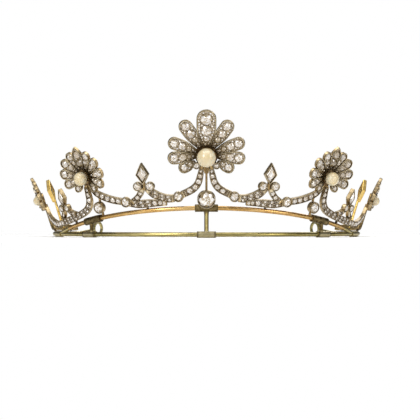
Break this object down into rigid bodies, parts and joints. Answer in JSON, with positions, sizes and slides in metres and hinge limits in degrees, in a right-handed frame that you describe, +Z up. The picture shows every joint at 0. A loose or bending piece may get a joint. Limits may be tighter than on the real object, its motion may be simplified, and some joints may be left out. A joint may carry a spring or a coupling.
{
  "type": "diamond tiara",
  "caption": "Tiara of flower heads, garlands and trefoils set with old-cut diamonds and pearls, on a frame of gold rails whose ends carry ribbon loops.",
  "frame": {"origin": "middle of the box in X and Y, on the plane that the frame rests on", "axes": "+X from the wearer's right to the left as seen from the front, -Y towards the front, +Z up"},
  "size_m": [0.1654, 0.1386, 0.0541],
  "materials": {
    "pale_gold": "worn polish, slightly green",
    "rose_gold": "worn polish, warm and streaked",
    "dark_metal": "oxidised, satin",
    "silver_on_gold": "silver face with grey edges on a gold back, bright cut",
    "diamond": "old cut, faceted",
    "pearl": "lustrous, soft highlight"
  },
  "bodies": {
    "root": {"lower_rail": "pale_gold", "upper_rail": "rose_gold", "end_loop_left": "pale_gold", "end_loop_right": "pale_gold", "centre_bracket": "dark_metal", "side_bracket_left": "dark_metal", "side_bracket_right": "dark_metal", "centre_flower_setting": "silver_on_gold", "centre_flower_stones": "diamond", "centre_flower_pearl": "pearl", "centre_diamond": "diamond", "side_flower_setting_left": "silver_on_gold", "side_flower_setting_right": "silver_on_gold", "side_flower_stones_left": "diamond", "side_flower_stones_right": "diamond", "side_flower_pearl_left": "pearl", "side_flower_pearl_right": "pearl", "side_diamond_left": "diamond", "side_diamond_right": "diamond", "end_flower_setting_left": "silver_on_gold", "end_flower_setting_right": "silver_on_gold", "end_flower_stones_left": "diamond", "end_flower_stones_right": "diamond", "end_flower_pearl_left": "pearl", "end_flower_pearl_right": "pearl", "inner_garland_left": "silver_on_gold", "inner_garland_right": "silver_on_gold", "inner_garland_stones_left": "diamond", "inner_garland_stones_right": "diamond", "outer_garland_left": "silver_on_gold", "outer_garland_right": "silver_on_gold", "outer_garland_stones_left": "diamond", "outer_garland_stones_right": "diamond", "end_spray_left": "silver_on_gold", "end_spray_right": "silver_on_gold", "end_spray_stones_left": "diamond", "end_spray_stones_right": "diamond", "inner_lozenge_stone_left": "diamond", "inner_lozenge_stone_right": "diamond", "inner_trefoil_stones_left": "diamond", "inner_trefoil_stones_right": "diamond", "outer_lozenge_stone_left": "diamond", "outer_lozenge_stone_right": "diamond", "outer_trefoil_stones_left": "diamond", "outer_trefoil_stones_right": "diamond", "end_lozenge_stone_left": "diamond", "end_lozenge_stone_right": "diamond"}
  },
  "joints": []
}
